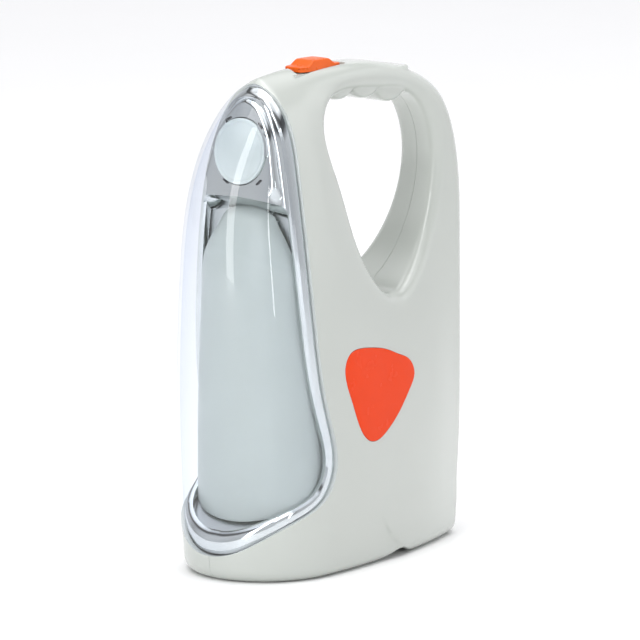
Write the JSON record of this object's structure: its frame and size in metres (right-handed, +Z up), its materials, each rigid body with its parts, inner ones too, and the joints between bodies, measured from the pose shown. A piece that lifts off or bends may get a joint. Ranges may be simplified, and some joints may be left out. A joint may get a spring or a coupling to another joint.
{
  "type": "rechargeable lantern",
  "caption": "Rechargeable LED lantern with a clear front cover over a frosted diffuser and a torch head, a loop handle with finger ribs and an orange slide switch on top.",
  "frame": {"origin": "on the floor under the middle of the object's box, below the standing rim of the base", "axes": "+Z up from the base to the handle, the lamps face -Y, the handle's rear leg is at +Y, and the two shells meet in the plane X = 0"},
  "size_m": [0.086, 0.1862, 0.25],
  "materials": {
    "body_plastic": "glossy off-white moulded ABS",
    "clear_cover": "clear polycarbonate, faint lavender tint",
    "chrome_trim": "vacuum-metallised plastic",
    "frosted_plastic": "frosted translucent diffuser",
    "pearl_lens": "pearly translucent lens",
    "led_lens": "clear epoxy over yellow phosphor",
    "green_board": "solder-masked circuit board",
    "white_board": "white solder-masked circuit board",
    "orange_plastic": "glossy orange insert",
    "orange_switch": "satin orange switch",
    "black_plastic": "black moulded plastic",
    "plated_steel": "zinc-plated steel",
    "brass_pins": "tinned brass",
    "battery_case": "grey battery case",
    "capacitor_sleeve": "dark blue capacitor sleeve",
    "red_lens": "red indicator lens",
    "wire_sleeve": "red PVC wire sleeve"
  },
  "bodies": {
    "housing": {"housing_right": "body_plastic", "housing_left": "body_plastic", "front_cover": "clear_cover", "chrome_bezel": "chrome_trim", "lantern_reflector": "chrome_trim", "torch_panel": "chrome_trim", "lantern_diffuser": "frosted_plastic", "torch_lens": "pearl_lens", "torch_reflector": "chrome_trim", "torch_led": "led_lens", "torch_led_board": "green_board", "lantern_led_board": "white_board", "lantern_leds": "led_lens", "side_insert_right": "orange_plastic", "side_insert_left": "orange_plastic", "switch_case": "plated_steel", "switch_terminals": "brass_pins", "battery": "battery_case", "battery_terminals": "brass_pins", "battery_strap": "black_plastic", "charger_board": "green_board", "charger_capacitor": "capacitor_sleeve", "charger_diodes": "black_plastic", "charging_socket": "black_plastic", "charge_indicator": "red_lens", "housing_screws": "plated_steel", "battery_wires": "wire_sleeve", "switch_wires": "wire_sleeve"},
    "switch": {"switch_knob": "orange_switch", "switch_slider": "black_plastic"}
  },
  "joints": [
    {"name": "switch_slide", "type": "slide", "parent": "housing", "child": "switch", "axis": [0, 1, 0], "range_m": [-0.0032, 0.0032]}
  ]
}
